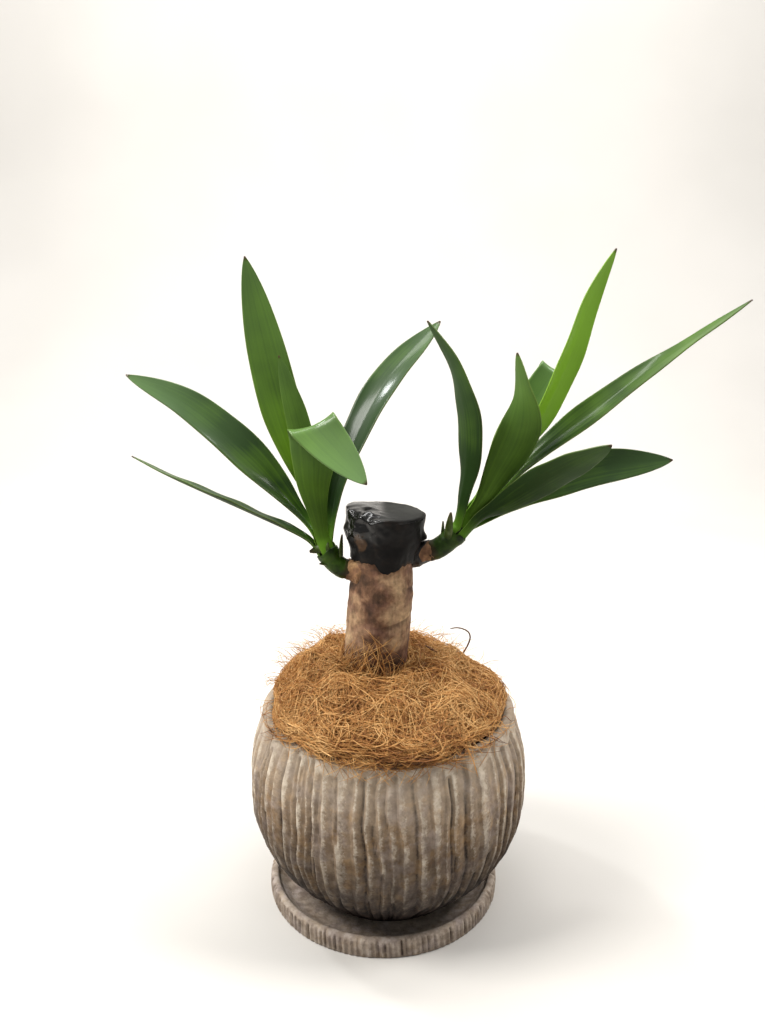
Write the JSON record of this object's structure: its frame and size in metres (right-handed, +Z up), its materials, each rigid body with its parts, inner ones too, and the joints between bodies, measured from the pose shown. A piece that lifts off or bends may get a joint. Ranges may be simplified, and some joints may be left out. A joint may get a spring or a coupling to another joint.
{
  "type": "potted yucca",
  "caption": "Young yucca cane with leafy shoots near its sealed cut top, planted under coir mulch in a round ribbed stoneware pot on a shallow matching saucer.",
  "frame": {"origin": "centre of the saucer's flat underside, on the surface that the object stands on", "axes": "+Z up; -Y is the front that the picture shows; +X to the right of that view"},
  "size_m": [0.3424, 0.1636, 0.3754],
  "materials": {
    "saucer_stoneware": "matte grey stoneware",
    "pot_stoneware": "matte grey-brown stoneware, paler on the ribs",
    "potting_soil": "dark, crumbly, matte",
    "cane_bark": "rough mottled bark",
    "coir_fibre": "loose golden-brown fibre",
    "wound_sealant": "black, half-gloss",
    "shoot_green": "smooth, satin",
    "leaf_green": "smooth, half-gloss",
    "young_leaf_green": "smooth, satin"
  },
  "bodies": {
    "root": {"saucer": "saucer_stoneware", "pot": "pot_stoneware", "potting_soil": "potting_soil", "cane": "cane_bark", "coir_mulch": "coir_fibre", "wound_sealant": "wound_sealant", "left_shoot_stem": "shoot_green", "right_shoot_stem": "shoot_green", "left_leaf_1": "leaf_green", "left_leaf_2": "leaf_green", "left_leaf_3": "leaf_green", "left_leaf_4": "young_leaf_green", "left_leaf_5": "leaf_green", "left_leaf_6": "leaf_green", "right_leaf_1": "leaf_green", "right_leaf_2": "leaf_green", "right_leaf_3": "leaf_green", "right_leaf_4": "young_leaf_green", "right_leaf_5": "leaf_green", "right_leaf_6": "leaf_green", "right_leaf_7": "leaf_green"}
  },
  "joints": []
}
